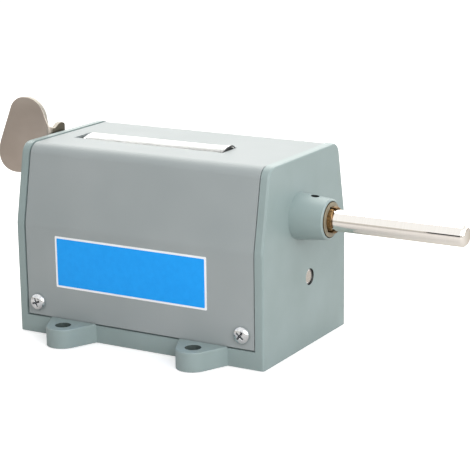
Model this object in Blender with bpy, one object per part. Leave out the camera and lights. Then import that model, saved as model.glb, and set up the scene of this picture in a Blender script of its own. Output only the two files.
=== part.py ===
# A five-figure revolution counter with a reset key, in metres.
# Origin: centre of the base's underside. +X runs along the drive shaft, the front faces -Y.
from math import acos, atan2, cos, pi, radians, sin, sqrt

import bmesh
import bpy
from mathutils import Vector

# Housing
BODY_L = 0.109
BODY_D = 0.066
BODY_H = 0.074
KNEE_Z = 0.0434
TOP_D = 0.054
KNEE_R = 0.010
TOP_R = 0.005
PLATE_T = 0.0035
EDGE_R = 0.0009
RAIL_Z = 0.0067
RAIL_W = 0.0055
FLOOR_Z = 0.0045
BELOW = 0.002
INNER_BOSS_L = 0.0035
GAP = 0.0003

# Mounting ears
EAR_X = 0.029
EAR_Y = 0.040
EAR_R = 0.0065
EAR_ROOT = 0.0105
EAR_Z = 0.0074
EAR_EDGE_R = 0.0006
EAR_HOLE_R = 0.0031

# Cover sheet and its window
SHEET_T = 0.0012
WINDOW_X = (-0.0425, 0.0245)
WINDOW_W = 0.0095
LENS_T = 0.0006
LENS_RISE = 0.0013
SCREW_X = 0.0455
SCREW_Z = 0.0126
SCREW_R = 0.0020
SCREW_HEAD_R = 0.0035
SCREW_HEAD_H = 0.0022
SCREW_L = 0.0088

# Axes of the mechanism: the wheels' as (y, z), the others by distance and angle from it
WHEEL_AXIS = (-0.0050, 0.0520)
PINION_DIST = 0.0266
PINION_ANGLE = radians(-72.3)
KEY_DIST = 0.0142
KEY_ANGLE = radians(72.3)

# Number wheels
WHEELS = ("units", "tens", "hundreds", "thousands", "ten_thousands")
PITCH = 0.0132
RIGHT_FACE = 0.0241
WHEEL_R = 0.0200
WHEEL_TEETH = 20
RING_ROOT_R = 0.0171
RING_TIP_R = 0.0199
POCKET_R = 0.0160
HUB_R = 0.0075
LOCK_R = 0.0170
DISC_X = 0.0002
DISC_T = 0.0020
WEB_X = 0.0042
HUB_END = 0.0088
NOTCH_R = 0.0016
CARRY_NOTCHES = (radians(-9), radians(9))
LUG_Y = 0.0115
LUG_W = 0.0040
LEAF_T = 0.0005
LEAF_W = 0.0024

# Transfer pinions
PINION_TEETH = 8
PINION_TIP_R = 0.0092
PINION_ROOT_R = 0.0064
PINION_L = 0.0040
SPINDLE_R = 0.0025
SPACER_R = 0.0036
SINK_R = 0.0032
SINK_DEPTH = 0.0010
SPINDLE_IN = 0.0005

# Drive and reset shafts
SHAFT_R = 0.0040
SHAFT_END_X = 0.1205
BOSS_END_X = 0.0675
BOSS_BASE_R = 0.0087
BOSS_TIP_R = 0.0076
BUSH_R = 0.0065
BUSH_BORE_R = 0.0043
OIL_X = 0.0610
OIL_R = 0.0016
SPIGOT_R = 0.0024
DRIVE_HUB_END = 0.0391
PIN_X = 0.0366
PIN_R = 0.0013
PIN_HALF = 0.0072
GEAR_TEETH = 18
GEAR_TIP_R = 0.0103
GEAR_ROOT_R = 0.0083
KEY_TEETH = 9
KEY_TIP_R = 0.00557
KEY_ROOT_R = 0.00358
KEY_SPINDLE_R = 0.0030
SHAFT_BUSH_R = 0.0055
KEY_BUSH_R = 0.0045

# Wing key: a bent sheet with a wing on each side of a base plate, the same from both ends
KEY_SHEET_T = 0.0020
KEY_X = -0.0570
KEY_HALF_W = 0.0049
KEY_BEND_R = 0.0020
BEND_STEPS = 4
KEY_SCREW_R = 0.0015

ROUND = 32


def clear_scene():
    for obj in list(bpy.data.objects):
        bpy.data.objects.remove(obj, do_unlink=True)


def linear(channel):
    return channel / 12.92 if channel <= 0.04045 else ((channel + 0.055) / 1.055) ** 2.4


def finish(name, colour, roughness, metallic):
    """A material from an sRGB hex colour."""
    made = bpy.data.materials.new(name)
    made.use_nodes = True
    shader = made.node_tree.nodes["Principled BSDF"]
    rgb = [linear(int(colour[i : i + 2], 16) / 255) for i in (0, 2, 4)]
    shader.inputs["Base Color"].default_value = (*rgb, 1.0)
    shader.inputs["Roughness"].default_value = roughness
    shader.inputs["Metallic"].default_value = metallic
    made.diffuse_color = (*rgb, 1.0)
    return made


def add_object(name, bm, material=None, place=(0, 0, 0)):
    """Makes an object of a bmesh, with its faces pointing out."""
    bmesh.ops.remove_doubles(bm, verts=bm.verts, dist=1e-6)
    bmesh.ops.recalc_face_normals(bm, faces=bm.faces)
    mesh = bpy.data.meshes.new(name)
    bm.to_mesh(mesh)
    bm.free()
    mesh.shade_smooth()
    mesh.set_sharp_from_angle(angle=radians(30))
    obj = bpy.data.objects.new(name, mesh)
    bpy.context.scene.collection.objects.link(obj)
    obj.location = place
    if material:
        mesh.materials.append(material)
    return obj


def spin_edges(bm, verts, edges, steps):
    bmesh.ops.spin(
        bm,
        geom=verts + edges,
        cent=(0, 0, 0),
        axis=(1, 0, 0),
        angle=2 * pi,
        steps=steps,
        use_merge=True,
    )


def spin_profile(profile, steps=ROUND):
    """Turns a closed outline of (x, radius) points round the X axis."""
    bm = bmesh.new()
    verts = [bm.verts.new((x, r, 0)) for x, r in profile]
    edges = [bm.edges.new((verts[i - 1], verts[i])) for i in range(len(verts))]
    spin_edges(bm, verts, edges, steps)
    return bm


def solid_of_turn(profile, steps=ROUND):
    """Turns an open outline round the X axis and closes both of its ends with flat discs."""
    bm = bmesh.new()
    verts = [bm.verts.new((x, r, 0)) for x, r in profile]
    edges = [bm.edges.new((verts[i], verts[i + 1])) for i in range(len(verts) - 1)]
    spin_edges(bm, verts, edges, steps)
    bmesh.ops.holes_fill(bm, edges=[e for e in bm.edges if e.is_boundary])
    return bm


def rod(x0, x1, radius, steps=ROUND, chamfer=0.0):
    """A plain round bar along X, with the same chamfer at both ends."""
    if chamfer:
        outline = [(x0, radius - chamfer), (x0 + chamfer, radius)]
        outline += [(x1 - chamfer, radius), (x1, radius - chamfer)]
    else:
        outline = [(x0, radius), (x1, radius)]
    return solid_of_turn(outline, steps)


def tube(x0, x1, inner, outer, steps=ROUND):
    return spin_profile([(x0, inner), (x0, outer), (x1, outer), (x1, inner)], steps)


def extrude_yz(points, x0, x1):
    """Extrudes a closed outline of (y, z) points from x0 to x1."""
    bm = bmesh.new()
    face = bm.faces.new([bm.verts.new((x0, y, z)) for y, z in points])
    made = bmesh.ops.extrude_face_region(bm, geom=[face])
    moved = [v for v in made["geom"] if isinstance(v, bmesh.types.BMVert)]
    bmesh.ops.translate(bm, vec=(x1 - x0, 0, 0), verts=moved)
    return bm


def extrude_up(points, z0, z1):
    """Extrudes a closed outline of (x, y) points from z0 to z1."""
    bm = bmesh.new()
    face = bm.faces.new([bm.verts.new((x, y, z0)) for x, y in points])
    made = bmesh.ops.extrude_face_region(bm, geom=[face])
    moved = [v for v in made["geom"] if isinstance(v, bmesh.types.BMVert)]
    bmesh.ops.translate(bm, vec=(0, 0, z1 - z0), verts=moved)
    return bm


def box(low, high):
    corners = [(low[0], low[1]), (high[0], low[1]), (high[0], high[1]), (low[0], high[1])]
    return extrude_up(corners, low[2], high[2])


def combine(target, other, operation):
    """Adds other to target, or cuts it away, with an exact Boolean."""
    modifier = target.modifiers.new(other.name, "BOOLEAN")
    modifier.operation = operation
    modifier.solver = "EXACT"
    modifier.object = other
    other.hide_render = True
    other.display_type = "WIRE"


def helper(name, bm, place=(0, 0, 0), turn=None):
    """An object that only shapes another one."""
    obj = add_object(name, bm, None, place)
    if turn:
        obj.rotation_euler = turn
    return obj


def remove_tree(obj):
    """Removes an object and every helper that shapes it."""
    for modifier in obj.modifiers:
        remove_tree(modifier.object)
    bpy.data.objects.remove(obj, do_unlink=True)


def baked_mesh(obj, name):
    """The mesh that an object's Booleans give, for several objects to share. The object goes."""
    graph = bpy.context.evaluated_depsgraph_get()
    mesh = bpy.data.meshes.new_from_object(obj.evaluated_get(graph))
    remove_tree(obj)
    mesh.name = name
    mesh.shade_smooth()
    mesh.set_sharp_from_angle(angle=radians(30))
    return mesh


def offset_corners(inset):
    """The housing's six corners, moved inwards by inset, from lower front round to lower rear."""
    half = BODY_D / 2
    top = TOP_D / 2
    rise = BODY_H - KNEE_Z
    run = half - top
    length = sqrt(rise**2 + run**2)
    # The sloping side's own line is y = half - (z - KNEE_Z) * run / rise, pushed in by inset.
    shift = inset * length / rise
    knee_y = half - inset
    knee_z = KNEE_Z + (half - shift - knee_y) * rise / run
    top_z = BODY_H - inset
    top_y = half - shift - (top_z - KNEE_Z) * run / rise
    right = [(knee_y, knee_z, KNEE_R), (top_y, top_z, TOP_R)]
    left = [(-y, z, r) for y, z, r in right]
    return left, right


def rounded(before, corner, after, radius, steps):
    """The points of an arc that rounds one corner of an outline."""
    here = Vector(corner)
    to_a = (Vector(before) - here).normalized()
    to_b = (Vector(after) - here).normalized()
    half_angle = to_a.angle(to_b) / 2
    reach = radius / sin(half_angle)
    centre = here + (to_a + to_b).normalized() * reach
    start = here + to_a * sqrt(reach**2 - radius**2)
    turn = pi - 2 * half_angle
    side = 1 if to_a.cross(to_b) < 0 else -1
    arm = start - centre
    points = []
    for step in range(steps + 1):
        a = side * turn * step / steps
        points.append(
            (
                centre.x + arm.x * cos(a) - arm.y * sin(a),
                centre.y + arm.x * sin(a) + arm.y * cos(a),
            )
        )
    return points


def housing_outline(inset, foot_z, knee_steps=3, top_steps=5):
    """The housing's side profile as (y, z) points, from lower front over the top to lower rear."""
    left, right = offset_corners(inset)
    front = (-BODY_D / 2 + inset, foot_z)
    rear = (BODY_D / 2 - inset, foot_z)
    (ky, kz, kr), (ty, tz, tr) = left
    (ry, rz, _), (sy, sz, _) = right
    points = [front]
    points += rounded(front, (ky, kz), (ty, tz), KNEE_R - inset, knee_steps)
    points += rounded((ky, kz), (ty, tz), (sy, sz), TOP_R - inset, top_steps)
    points += rounded((ty, tz), (sy, sz), (ry, rz), TOP_R - inset, top_steps)
    points += rounded((sy, sz), (ry, rz), rear, KNEE_R - inset, knee_steps)
    points.append(rear)
    return points


def body_block():
    """The housing as a full block with its end edges rounded off."""
    half = BODY_L / 2
    inset = ((0.0, EDGE_R), (0.3 * EDGE_R, 0.3 * EDGE_R), (EDGE_R, 0.0))
    stations = [(-half + x, depth) for x, depth in inset]
    stations += [(half - x, depth) for x, depth in reversed(inset)]
    bm = bmesh.new()
    rings = []
    for x, depth in stations:
        outline = housing_outline(depth, -BELOW)
        ring = [bm.verts.new((x, y, z)) for y, z in outline]
        rings.append([bm.edges.new((ring[i - 1], ring[i])) for i in range(len(ring))])
    for near, far in zip(rings, rings[1:]):
        bmesh.ops.bridge_loops(bm, edges=near + far)
    bmesh.ops.edgeloop_fill(bm, edges=rings[0])
    bmesh.ops.edgeloop_fill(bm, edges=rings[-1])
    return bm


def ear_outline(x, side):
    """A mounting ear seen from above: a round end and two flanks that spread to the rail."""
    root_y = EAR_Y - BODY_D / 2
    reach = sqrt(EAR_ROOT**2 + root_y**2)
    tangent = atan2(root_y, EAR_ROOT) - acos(EAR_R / reach)
    steps = 16
    inner = 0.004
    points = [(EAR_ROOT, root_y + inner), (EAR_ROOT, root_y)]
    for step in range(steps + 1):
        a = tangent - (pi + 2 * tangent) * step / steps
        points.append((EAR_R * cos(a), EAR_R * sin(a)))
    points += [(-EAR_ROOT, root_y), (-EAR_ROOT, root_y + inner)]
    return [(x + px, side * (EAR_Y - py)) for px, py in points]


def ear_block(side_x, side_y):
    """One mounting ear, its top edge rounded off."""
    bm = extrude_up(ear_outline(side_x * EAR_X, side_y), -BELOW, EAR_Z)
    rim = [e for e in bm.edges if min(v.co.z for v in e.verts) > 0]
    bmesh.ops.bevel(bm, geom=rim, offset=EAR_EDGE_R, segments=2, profile=0.5, affect="EDGES")
    return bm


def gear_outline(teeth, tip, root, half_tip, half_root, phase):
    """Teeth with straight flanks, as (y, z) points."""
    points = []
    for tooth in range(teeth):
        middle = phase + 2 * pi * tooth / teeth
        for radius, offset in (
            (root, -half_root),
            (tip, -half_tip),
            (tip, half_tip),
            (root, half_root),
        ):
            angle = middle + offset
            points.append((radius * cos(angle), radius * sin(angle)))
    return points


def pinion_place():
    y = WHEEL_AXIS[0] + PINION_DIST * cos(PINION_ANGLE)
    z = WHEEL_AXIS[1] + PINION_DIST * sin(PINION_ANGLE)
    return y, z


def key_place():
    y = WHEEL_AXIS[0] + KEY_DIST * cos(KEY_ANGLE)
    z = WHEEL_AXIS[1] + KEY_DIST * sin(KEY_ANGLE)
    return y, z


def on_wheel_axis(x=0.0):
    return (x, *WHEEL_AXIS)


def on_pinion_axis(x=0.0):
    return (x, *pinion_place())


def on_key_axis(x=0.0):
    return (x, *key_place())


def make_frame(material):
    """The one-piece casting: base, rails, end plates, ears, lugs and bosses."""
    half = BODY_L / 2
    inner = half - PLATE_T
    deep = BODY_D / 2
    frame = add_object("frame", body_block(), material)
    sides = [(side_x, side_y) for side_x in (-1, 1) for side_y in (-1, 1)]
    for side_x, side_y in sides:
        combine(frame, helper(f"ear{side_x}{side_y}", ear_block(side_x, side_y)), "UNION")
    reach = deep + 0.00015
    rail = deep - RAIL_W
    space = [(-reach, RAIL_Z), (-rail, RAIL_Z), (-rail, FLOOR_Z), (rail, FLOOR_Z), (rail, RAIL_Z)]
    space += [(reach, RAIL_Z), (reach, BODY_H + BELOW), (-reach, BODY_H + BELOW)]
    combine(frame, helper("cover_space", extrude_yz(space, -inner, inner)), "DIFFERENCE")
    combine(frame, helper("below", box((-0.06, -0.05, -0.003), (0.06, 0.05, 0))), "DIFFERENCE")
    for side_x, side_y in sides:
        x0, x1 = sorted((side_x * (SCREW_X - 0.0052), side_x * (inner + 0.001)))
        y0, y1 = sorted((side_y * (deep - 0.0115), side_y * (deep - SHEET_T - 2 * GAP)))
        lug = box((x0, y0, FLOOR_Z - 0.001), (x1, y1, SCREW_Z + 0.0052))
        combine(frame, helper(f"lug{side_x}{side_y}", lug), "UNION")
    boss = [
        (inner - 0.007, BOSS_BASE_R + 0.0008),
        (half - 0.0010, BOSS_BASE_R + 0.0018),
        (half + 0.0004, BOSS_BASE_R + 0.0005),
        (half + 0.0014, BOSS_BASE_R),
        (BOSS_END_X - 0.0005, BOSS_TIP_R),
        (BOSS_END_X, BOSS_TIP_R - 0.0005),
    ]
    combine(frame, helper("drive_boss", solid_of_turn(boss), on_wheel_axis()), "UNION")
    inner_boss = rod(-inner - 0.001, -inner + INNER_BOSS_L, SHAFT_BUSH_R + 0.0015, 24)
    combine(frame, helper("shaft_boss", inner_boss, on_wheel_axis()), "UNION")
    key_boss = rod(-inner - 0.001, -inner + INNER_BOSS_L, KEY_BUSH_R + 0.0017, 24)
    combine(frame, helper("key_boss", key_boss, on_key_axis()), "UNION")
    cut_bores(frame, half, inner)
    cut_screw_holes(frame, sides)


def cut_bores(frame, half, inner):
    """The holes of the drive shaft, reset shaft, key and pinion spindle, and the oil hole."""
    drive = rod(inner - 0.008, BOSS_END_X + 0.001, BUSH_R + GAP)
    combine(frame, helper("drive_bore", drive, on_wheel_axis()), "DIFFERENCE")
    blind = rod(-half + 0.0015, -inner + 0.005, SHAFT_BUSH_R + GAP, 24)
    combine(frame, helper("shaft_bore", blind, on_wheel_axis()), "DIFFERENCE")
    key = rod(-half - 0.001, -inner + 0.005, KEY_BUSH_R + GAP, 24)
    combine(frame, helper("key_bore", key, on_key_axis()), "DIFFERENCE")
    for side, name in ((-1, "left"), (1, "right")):
        x0, x1 = sorted((side * (inner - 0.001), side * (half + 0.001)))
        hole = helper(f"{name}_spindle_hole", rod(x0, x1, SPINDLE_R + GAP, 16), on_pinion_axis())
        combine(frame, hole, "DIFFERENCE")
        x0, x1 = sorted((side * (half - SINK_DEPTH), side * (half + 0.002)))
        sink = helper(f"{name}_spindle_sink", rod(x0, x1, SINK_R, 20), on_pinion_axis())
        combine(frame, sink, "DIFFERENCE")
    oil = helper("oil_bore", rod(0.0, 0.012, OIL_R, 12), on_wheel_axis(OIL_X))
    oil.rotation_euler = (0, -pi / 2, 0)
    combine(frame, oil, "DIFFERENCE")


def cut_screw_holes(frame, sides):
    """The four holes of the mounting ears and the four of the cover screws."""
    for side_x, side_y in sides:
        hole = helper(f"ear_hole{side_x}{side_y}", rod(-0.001, 0.010, EAR_HOLE_R, 20))
        hole.location = (side_x * EAR_X, side_y * EAR_Y, 0)
        hole.rotation_euler = (0, -pi / 2, 0)
        combine(frame, hole, "DIFFERENCE")
        tapped = helper(f"screw_hole{side_x}{side_y}", rod(0, 0.0105, SCREW_R + GAP, 12))
        tapped.location = (side_x * SCREW_X, side_y * (BODY_D / 2 + 0.001), SCREW_Z)
        tapped.rotation_euler = (0, 0, -side_y * pi / 2)
        combine(frame, tapped, "DIFFERENCE")


def make_cover(material):
    """The bent sheet over front, top and back, with the window slot and four screw holes."""
    outer = housing_outline(GAP, RAIL_Z + GAP)
    inner = housing_outline(GAP + SHEET_T, RAIL_Z + GAP)
    reach = BODY_L / 2 - PLATE_T - GAP
    cover = add_object("cover", extrude_yz(outer + inner[::-1], -reach, reach), material)
    low = (WINDOW_X[0], WHEEL_AXIS[0] - WINDOW_W / 2, BODY_H - 0.004)
    high = (WINDOW_X[1], WHEEL_AXIS[0] + WINDOW_W / 2, BODY_H + 0.002)
    combine(cover, helper("window_slot", box(low, high)), "DIFFERENCE")
    for side_x in (-1, 1):
        for side_y in (-1, 1):
            place = (side_x * SCREW_X, side_y * (BODY_D / 2 + 0.001), SCREW_Z)
            hole = helper(
                f"cover_hole{side_x}_{side_y}",
                rod(0, 0.004, SCREW_R + GAP, 12),
                place,
                (0, 0, -side_y * pi / 2),
            )
            combine(cover, hole, "DIFFERENCE")
    return cover


def make_lens(material):
    """A clear strip, arched through the slot, with its long edges under the sheet."""
    under = BODY_H - GAP - SHEET_T - GAP
    half = WINDOW_W / 2 - GAP
    crest = BODY_H - GAP + LENS_RISE
    flange = 0.0022
    # The arch springs from just below the sheet and is half an ellipse across the slot.
    outer = []
    steps = 10
    for step in range(steps + 1):
        y = -half + 2 * half * step / steps
        outer.append((y, under + (crest - under) * (1 - (y / half) ** 2) ** 0.5))
    inner = [(y * (half - LENS_T) / half, z - LENS_T) for y, z in outer]
    foot = half + flange
    points = [(-foot, under)] + outer + [(foot, under), (foot, under - LENS_T)]
    points += inner[::-1] + [(-foot, under - LENS_T)]
    start = WINDOW_X[0] + 0.0042
    end = WINDOW_X[1] - 0.0012
    return add_object("window_lens", extrude_yz(points, start, end), material, (0, WHEEL_AXIS[0], 0))


def make_screw(name, material, place, side):
    """A pan-head cover screw. Its axis is Y and its head is outside."""
    head = SCREW_HEAD_H
    outline = [
        (-0.92 * head, 0.6 * SCREW_HEAD_R),
        (-0.60 * head, 0.9 * SCREW_HEAD_R),
        (-0.20 * head, SCREW_HEAD_R),
        (0, SCREW_HEAD_R),
        (0, SCREW_R),
        (SCREW_L, SCREW_R),
    ]
    obj = add_object(name, solid_of_turn(outline, 16), material, place)
    obj.rotation_euler = (0, 0, -side * pi / 2)
    return obj


def make_bushes(bronze):
    """The bronze bushes: drive shaft, reset shaft and key spindle."""
    bore = BUSH_BORE_R
    outline = [
        (BODY_L / 2 - PLATE_T - 0.007, bore),
        (BODY_L / 2 - PLATE_T - 0.007, BUSH_R),
        (BOSS_END_X, BUSH_R),
        (BOSS_END_X, 0.0053),
        (BOSS_END_X - 0.0012, 0.0049),
        (BOSS_END_X - 0.0012, bore),
    ]
    drive = add_object("drive_bush", spin_profile(outline), bronze, on_wheel_axis())
    for number, angle in enumerate((95, 215, 335)):
        turn = radians(angle)
        groove = helper(
            f"oil_groove{number}",
            rod(BOSS_END_X - 0.004, BOSS_END_X + 0.001, 0.0007, 10),
            (0, WHEEL_AXIS[0] + bore * cos(turn), WHEEL_AXIS[1] + bore * sin(turn)),
        )
        combine(drive, groove, "DIFFERENCE")
    inner = -BODY_L / 2 + PLATE_T + INNER_BOSS_L
    reset = tube(-BODY_L / 2 + 0.0018, inner, bore, SHAFT_BUSH_R, 24)
    add_object("reset_shaft_bush", reset, bronze, on_wheel_axis())
    key = tube(-BODY_L / 2, inner, KEY_SPINDLE_R + GAP, KEY_BUSH_R, 24)
    add_object("key_bush", key, bronze, on_key_axis())


def ring_of_teeth(x0, x1):
    """A wheel's ring of teeth: toothed outside, round inside."""
    teeth = gear_outline(
        WHEEL_TEETH, RING_TIP_R, RING_ROOT_R, radians(2.4), radians(5.4), PINION_ANGLE
    )
    bore = POCKET_R + 0.0002
    angles = [2 * pi * i / WHEEL_TEETH + PINION_ANGLE for i in range(WHEEL_TEETH)]
    circle = [(bore * cos(a), bore * sin(a)) for a in angles]
    bm = bmesh.new()
    loops = []
    for x, outline in ((x0, teeth), (x1, teeth), (x1, circle), (x0, circle)):
        ring = [bm.verts.new((x, y, z)) for y, z in outline]
        loops.append([bm.edges.new((ring[i - 1], ring[i])) for i in range(len(ring))])
    for near, far in zip(loops, loops[1:] + loops[:1]):
        bmesh.ops.bridge_loops(bm, edges=near + far)
    return bm


def wheel_mesh(material):
    """One number wheel in its slot from 0 to PITCH: drum, web, hub, tooth ring, carry disc."""
    drum_end = PITCH - 0.0024
    outline = [
        (DISC_X, BUSH_BORE_R),
        (DISC_X, LOCK_R),
        (DISC_X + DISC_T, LOCK_R),
        (DISC_X + DISC_T, WHEEL_R),
        (drum_end, WHEEL_R),
        (drum_end, POCKET_R),
        (WEB_X, POCKET_R),
        (WEB_X, HUB_R),
        (HUB_END, HUB_R),
        (HUB_END, BUSH_BORE_R),
    ]
    wheel = add_object("wheel_shape", spin_profile(outline, 24), material)
    ring = helper("ring_teeth", ring_of_teeth(drum_end - 0.0004, PITCH - 0.0002))
    combine(wheel, ring, "UNION")
    for number, offset in enumerate(CARRY_NOTCHES):
        angle = PINION_ANGLE + pi + offset
        place = (0, LOCK_R * cos(angle), LOCK_R * sin(angle))
        notch = rod(DISC_X - 0.001, DISC_X + DISC_T - 0.0004, NOTCH_R, 10)
        combine(wheel, helper(f"carry_notch{number}", notch, place), "DIFFERENCE")
    lug = box((WEB_X - 0.0007, LUG_Y, -LUG_W / 2), (HUB_END + 0.0012, POCKET_R + 0.0006, LUG_W / 2))
    combine(wheel, helper("spring_lug", lug), "UNION")
    return baked_mesh(wheel, "number_wheel")


def spring_mesh(material):
    """The zero spring: a leaf that starts beside its lug and ends in a nose over the shaft's groove."""
    seat = LUG_W / 2 + GAP + LEAF_T / 2
    nose = SHAFT_R + GAP
    centre_line = [
        (POCKET_R - 0.0012, seat),
        (LUG_Y - 0.0005, seat + 0.0003),
        (0.0085, nose),
        (0.0055, nose + 0.0013),
        (0.0020, nose + 0.0015),
        (0.0002, nose + 0.0011),
        (0.0000, nose + 0.0001),
    ]
    left = []
    right = []
    for index, point in enumerate(centre_line):
        before = Vector(centre_line[max(index - 1, 0)])
        after = Vector(centre_line[min(index + 1, len(centre_line) - 1)])
        along = (after - before).normalized()
        normal = Vector((-along.y, along.x)) * LEAF_T / 2
        left.append(tuple(Vector(point) + normal))
        right.append(tuple(Vector(point) - normal))
    start = HUB_END + 0.0006
    leaf = add_object("leaf_shape", extrude_yz(left + right[::-1], start, start + LEAF_W), material)
    return baked_mesh(leaf, "zero_spring")


def shared(name, mesh, place):
    obj = bpy.data.objects.new(name, mesh)
    bpy.context.scene.collection.objects.link(obj)
    obj.location = place
    return obj


def pinion_mesh(material):
    """A transfer pinion: eight teeth on its left half, every second one on its right half."""
    half = PINION_L / 2
    phase = PINION_ANGLE + pi + pi / PINION_TEETH
    full = gear_outline(
        PINION_TEETH, PINION_TIP_R, PINION_ROOT_R, radians(5), radians(12), phase
    )
    pinion = add_object("pinion_shape", extrude_yz(full, 0, half), material)
    few = gear_outline(
        PINION_TEETH // 2, PINION_TIP_R, PINION_ROOT_R, radians(5), radians(12), phase
    )
    right = helper("long_teeth", extrude_yz(few, half - 0.0005, PINION_L))
    combine(pinion, right, "UNION")
    bore = helper("pinion_bore", rod(-0.001, PINION_L + 0.001, SPINDLE_R + GAP, 16))
    combine(pinion, bore, "DIFFERENCE")
    return baked_mesh(pinion, "transfer_pinion")


def make_wheels(plastic, spring_steel, brass):
    """The five number wheels with their zero springs, and the five transfer pinions."""
    wheel = wheel_mesh(plastic)
    spring = spring_mesh(spring_steel)
    pinion = pinion_mesh(brass)
    for order, name in enumerate(WHEELS):
        right = RIGHT_FACE - order * PITCH
        shared(f"{name}_wheel", wheel, on_wheel_axis(right - PITCH))
        shared(f"{name}_zero_spring", spring, on_wheel_axis(right - PITCH))
        shared(f"{name}_pinion", pinion, on_pinion_axis(right - 0.0021))


def make_spindle(steel, brass):
    """The pinion spindle and the spacer tubes that part the pinions."""
    end = BODY_L / 2 - SPINDLE_IN
    add_object("pinion_spindle", rod(-end, end, SPINDLE_R, 20, 0.0003), steel, on_pinion_axis())
    lefts = [RIGHT_FACE - order * PITCH - 0.0021 for order in range(len(WHEELS))]
    rights = [left + PINION_L for left in lefts]
    wall = BODY_L / 2 - PLATE_T
    spans = [(rights[0], wall)]
    spans += [(rights[i + 1], lefts[i]) for i in range(len(WHEELS) - 1)]
    spans.append((-wall, lefts[-1]))
    for number, (x0, x1) in enumerate(spans, start=1):
        bm = tube(x0 + GAP, x1 - GAP, SPINDLE_R + GAP, SPACER_R, 10)
        add_object(f"spindle_spacer_{number}", bm, brass, on_pinion_axis())


def make_drive(steel, alloy, dark_steel):
    """The input shaft with its drive disc, cross pin and thrust collar."""
    x0 = RIGHT_FACE + 0.0005
    depth = 0.009
    bore = SPIGOT_R + GAP
    outline = [
        (x0, bore),
        (x0, SHAFT_R - 0.0003),
        (x0 + 0.0003, SHAFT_R),
        (SHAFT_END_X - 0.0012, SHAFT_R),
        (SHAFT_END_X, SHAFT_R - 0.0010),
    ]
    outline.insert(0, (x0 + depth, bore))
    shaft = add_object("input_shaft", solid_of_turn(outline), steel, on_wheel_axis())
    hole = helper("shaft_pin_hole", rod(-0.010, 0.010, PIN_R + GAP, 12), on_wheel_axis(PIN_X))
    hole.rotation_euler = (0, pi / 2, 0)
    combine(shaft, hole, "DIFFERENCE")
    make_drive_disc(alloy)
    bar = rod(-PIN_HALF, PIN_HALF, PIN_R, 12, 0.0003)
    pin = add_object("drive_pin", bar, steel, on_wheel_axis(PIN_X))
    pin.rotation_euler = (0, pi / 2, 0)
    end = BODY_L / 2 - PLATE_T - 0.0073
    collar = tube(DRIVE_HUB_END + GAP, end, SHAFT_R + GAP, BUSH_R, 24)
    add_object("thrust_collar", collar, dark_steel, on_wheel_axis())


def make_drive_disc(alloy):
    """The disc on the input shaft that carries into the units wheel, with its long hub."""
    x0 = RIGHT_FACE + DISC_X
    outline = [
        (x0, SHAFT_R + GAP),
        (x0, LOCK_R),
        (x0 + DISC_T, LOCK_R),
        (x0 + DISC_T, HUB_R),
        (DRIVE_HUB_END, HUB_R),
        (DRIVE_HUB_END, SHAFT_R + GAP),
    ]
    drive = add_object("drive_disc", spin_profile(outline, 24), alloy, on_wheel_axis())
    for number, offset in enumerate(CARRY_NOTCHES):
        angle = PINION_ANGLE + pi + offset
        place = on_wheel_axis()
        place = (0, place[1] + LOCK_R * cos(angle), place[2] + LOCK_R * sin(angle))
        notch = helper(f"drive_notch{number}", rod(x0 - 0.001, x0 + DISC_T + 0.001, NOTCH_R, 10), place)
        combine(drive, notch, "DIFFERENCE")
    hole = helper("disc_pin_hole", rod(-0.010, 0.010, PIN_R + GAP, 12), on_wheel_axis(PIN_X))
    hole.rotation_euler = (0, pi / 2, 0)
    combine(drive, hole, "DIFFERENCE")


def make_reset(steel, brass):
    """The grooved reset shaft, its gear, the key spindle and its pinion."""
    left = -BODY_L / 2 + 0.0020
    end = RIGHT_FACE - 0.0001
    outline = [
        (left, SHAFT_R - 0.0004),
        (left + 0.0004, SHAFT_R),
        (end, SHAFT_R),
        (end, SPIGOT_R),
        (end + 0.0080, SPIGOT_R),
    ]
    shaft = add_object("reset_shaft", solid_of_turn(outline), steel, on_wheel_axis())
    groove = box((-0.0415, -0.0009, SHAFT_R - 0.0012), (0.0232, 0.0009, SHAFT_R + 0.001))
    combine(shaft, helper("zero_groove", groove, on_wheel_axis()), "DIFFERENCE")
    gear_x = (-BODY_L / 2 + PLATE_T + 0.0041, -BODY_L / 2 + PLATE_T + 0.0078)
    teeth = gear_outline(
        GEAR_TEETH, GEAR_TIP_R, GEAR_ROOT_R, radians(2.2), radians(6), KEY_ANGLE
    )
    gear = add_object("reset_gear", extrude_yz(teeth, *gear_x), brass, on_wheel_axis())
    bore = helper("reset_gear_bore", rod(gear_x[0] - 0.001, gear_x[1] + 0.001, SHAFT_R + GAP, 20))
    bore.location = on_wheel_axis()
    combine(gear, bore, "DIFFERENCE")
    teeth = gear_outline(
        KEY_TEETH, KEY_TIP_R, KEY_ROOT_R, radians(5), radians(11), KEY_ANGLE + pi + pi / KEY_TEETH
    )
    pinion = add_object("key_pinion", extrude_yz(teeth, *gear_x), brass, on_key_axis())
    bore = helper("key_pinion_bore", rod(gear_x[0] - 0.001, gear_x[1] + 0.001, 0.0020 + GAP, 16))
    bore.location = on_key_axis()
    combine(pinion, bore, "DIFFERENCE")
    return gear_x


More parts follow.
